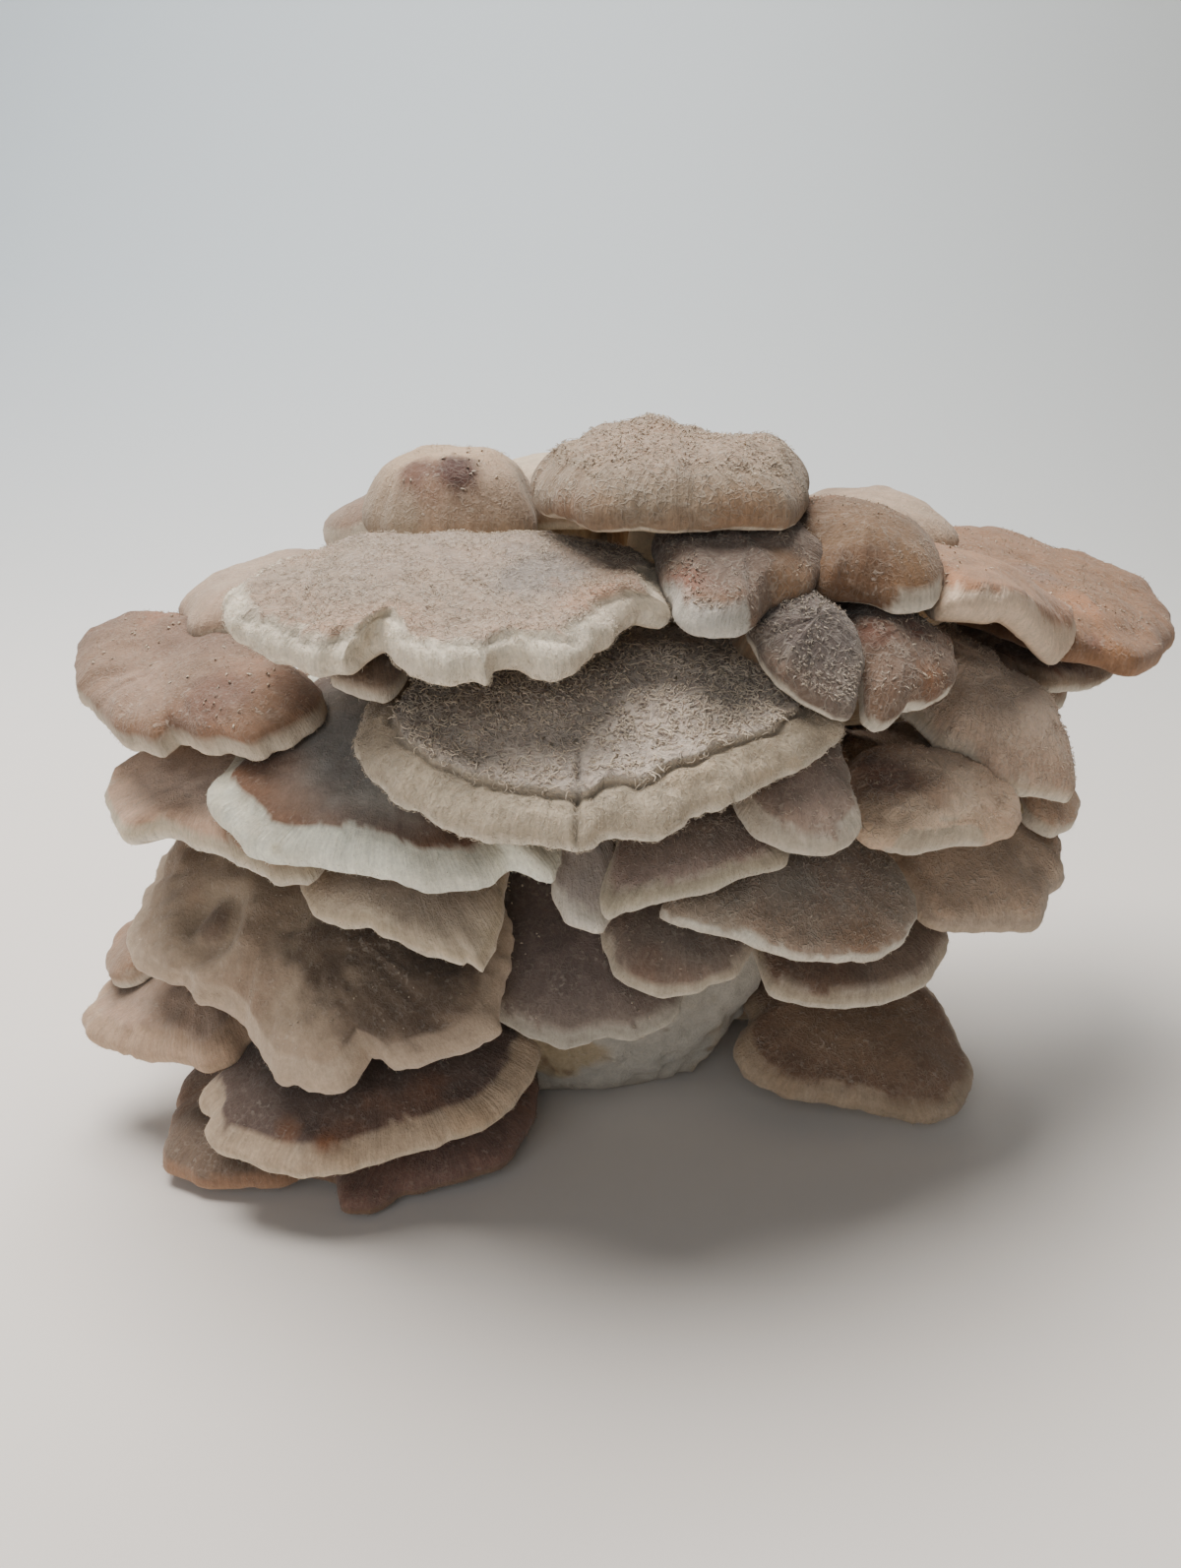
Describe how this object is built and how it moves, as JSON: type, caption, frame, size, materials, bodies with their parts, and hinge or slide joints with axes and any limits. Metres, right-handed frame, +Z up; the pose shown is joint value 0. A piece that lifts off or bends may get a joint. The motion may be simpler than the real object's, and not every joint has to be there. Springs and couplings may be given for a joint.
{
  "type": "shiitake mushroom cluster",
  "caption": "Cluster of shiitake mushrooms with overlapping fibrous brown caps and pale rims, grown round a rounded white mycelium block that stands on a flat underside.",
  "frame": {"origin": "middle of the flat underside that the mycelium block stands on", "axes": "+X to the right and +Y to the back as seen from the side with the largest caps, +Z up"},
  "size_m": [0.2995, 0.2065, 0.1851],
  "materials": {
    "mycelium": "matt, woolly, uneven, off-white with faint yellow-brown stains",
    "cap_brown": "matt brown skin with short curled pale fibres and a pale woolly rim, cream gills below",
    "cap_tan": "matt light tan skin with pale scaly fibres and a cream rim, cream gills below",
    "cap_grey_brown": "matt grey-brown skin, thickly covered with short curled pale fibres, cream rim, cream gills below",
    "cap_orange_brown": "matt orange-brown skin with fine fibres and a pale rim, cream gills below",
    "cap_dark_brown": "matt dark brown skin with small pale specks and a thin pale rim, cream gills below"
  },
  "bodies": {
    "root": {"mycelium_block": "mycelium", "cap_top_centre": "cap_tan", "cap_top_left": "cap_tan", "cap_front_centre": "cap_grey_brown", "cap_upper_left": "cap_tan", "cap_upper_right_inner": "cap_brown", "cap_right_front_small": "cap_brown", "cap_right_front_low": "cap_dark_brown", "cap_right_torn": "cap_brown", "cap_right_shoulder_inner": "cap_brown", "cap_right_shoulder_mid": "cap_brown", "cap_upper_right_outer": "cap_orange_brown", "cap_right_middle": "cap_brown", "cap_right_curled": "cap_orange_brown", "cap_front_left": "cap_orange_brown", "cap_mid_front": "cap_brown", "cap_narrow_front": "cap_brown", "cap_lower_left": "cap_dark_brown", "cap_left_upper": "cap_brown", "cap_left_middle": "cap_brown", "cap_right_outer": "cap_orange_brown", "cap_lower_front_right": "cap_brown", "cap_mid_lower_left": "cap_brown", "cap_low_centre": "cap_dark_brown", "cap_right_low": "cap_brown", "cap_foot_left": "cap_brown", "cap_right_lowest_front": "cap_brown", "cap_foot_right": "cap_dark_brown", "cap_foot_front": "cap_brown", "cap_left_low": "cap_brown", "cap_under_upper_left": "cap_brown", "cap_top_rear": "cap_brown", "cap_left_rear_upper": "cap_brown", "cap_left_low_rear": "cap_brown", "cap_foot_left_outer": "cap_brown", "cap_right_middle_under": "cap_brown", "cap_right_outer_under": "cap_brown", "cap_right_rear_upper": "cap_brown", "cap_right_side_small": "cap_brown", "cap_rear_foot_right": "cap_brown", "cap_rear_foot_mid_right": "cap_brown", "cap_rear_foot_mid_left": "cap_brown", "cap_rear_foot_left": "cap_brown", "cap_rear_low_right": "cap_brown", "cap_rear_low_mid_right": "cap_brown", "cap_rear_low_centre": "cap_brown", "cap_rear_low_mid_left": "cap_brown", "cap_rear_low_left": "cap_brown", "cap_rear_mid_right": "cap_brown", "cap_rear_mid_centre_right": "cap_brown", "cap_rear_mid_centre_left": "cap_brown", "cap_rear_mid_left": "cap_brown", "cap_rear_side_left": "cap_brown", "cap_rear_upper_right": "cap_brown", "cap_rear_upper_centre": "cap_brown", "cap_rear_upper_left": "cap_brown", "cap_rear_top_right": "cap_brown", "cap_rear_top_left": "cap_brown"}
  },
  "joints": []
}
